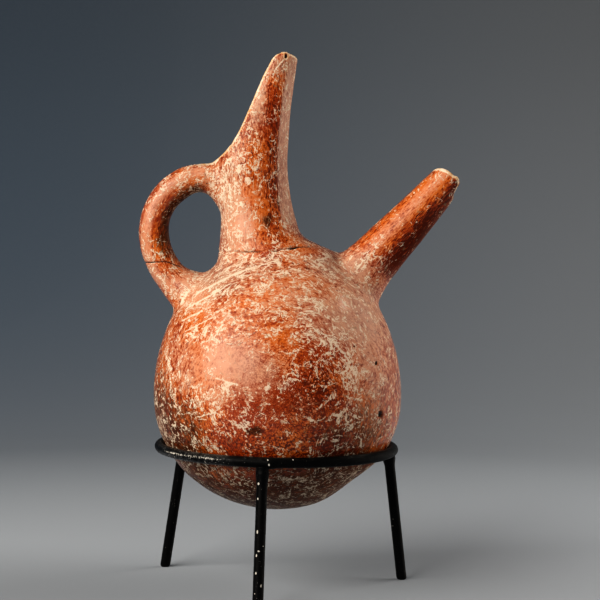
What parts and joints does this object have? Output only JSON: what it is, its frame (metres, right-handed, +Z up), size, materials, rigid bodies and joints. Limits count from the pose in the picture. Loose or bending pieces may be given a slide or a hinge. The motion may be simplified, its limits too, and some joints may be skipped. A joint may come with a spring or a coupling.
{
  "type": "beak-spouted jug",
  "caption": "Hand-built red clay jug with a tall cut-away beak, a loop handle and a slanting tubular spout; its round base rests in a black steel ring stand with splayed legs.",
  "frame": {"origin": "middle of the object's footprint, on the floor under the feet", "axes": "+Z up; +X towards the tubular spout, with the handle on the -X side; +Y away from the side shown"},
  "size_m": [0.2558, 0.2108, 0.4209],
  "materials": {
    "burnished_clay": "fired red clay with a burnished orange-red slip, worn, scratched and crusted with pale lime",
    "black_paint": "semi-gloss black paint on steel rod, chipped in places"
  },
  "bodies": {
    "root": {"jug": "burnished_clay", "stand_ring": "black_paint", "stand_leg_left": "black_paint", "stand_leg_front": "black_paint", "stand_leg_right": "black_paint"}
  },
  "joints": []
}
